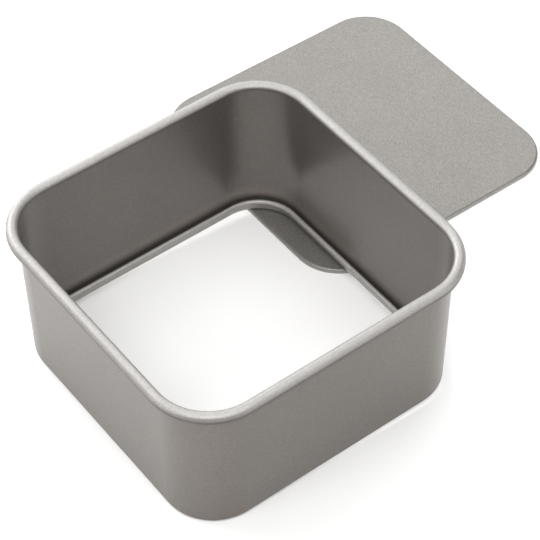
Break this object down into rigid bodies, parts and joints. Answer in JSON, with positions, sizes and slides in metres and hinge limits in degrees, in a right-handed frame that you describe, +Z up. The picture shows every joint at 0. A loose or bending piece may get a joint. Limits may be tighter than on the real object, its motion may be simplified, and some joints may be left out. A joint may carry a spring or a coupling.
{
  "type": "square cake pan",
  "caption": "Deep square cake pan with rounded corners and a hollow rolled rim, its loose base lying on the table half out from under it.",
  "frame": {"origin": "on the table, at the middle of the box round the pan and its loose base together", "axes": "+Z up from the table; +X towards the side where the loose base lies out, along two of the pan's walls; +Y towards the pan's back wall. The pan leans 0.93 degrees, raised on its +X side, because it stands on the base there"},
  "size_m": [0.2928, 0.2378, 0.0835],
  "materials": {
    "pan_coating": "satin grey non-stick coating with fine metallic grain on steel sheet",
    "base_coating": "satin grey non-stick coating with fine metallic grain on steel sheet"
  },
  "bodies": {
    "pan": {"pan_body": "pan_coating"},
    "base": {"base_plate": "base_coating"}
  },
  "joints": [
    {"name": "base_slide", "type": "slide", "parent": "pan", "child": "base", "axis": [1, 0, 0], "range_m": [0, 0.1]}
  ]
}
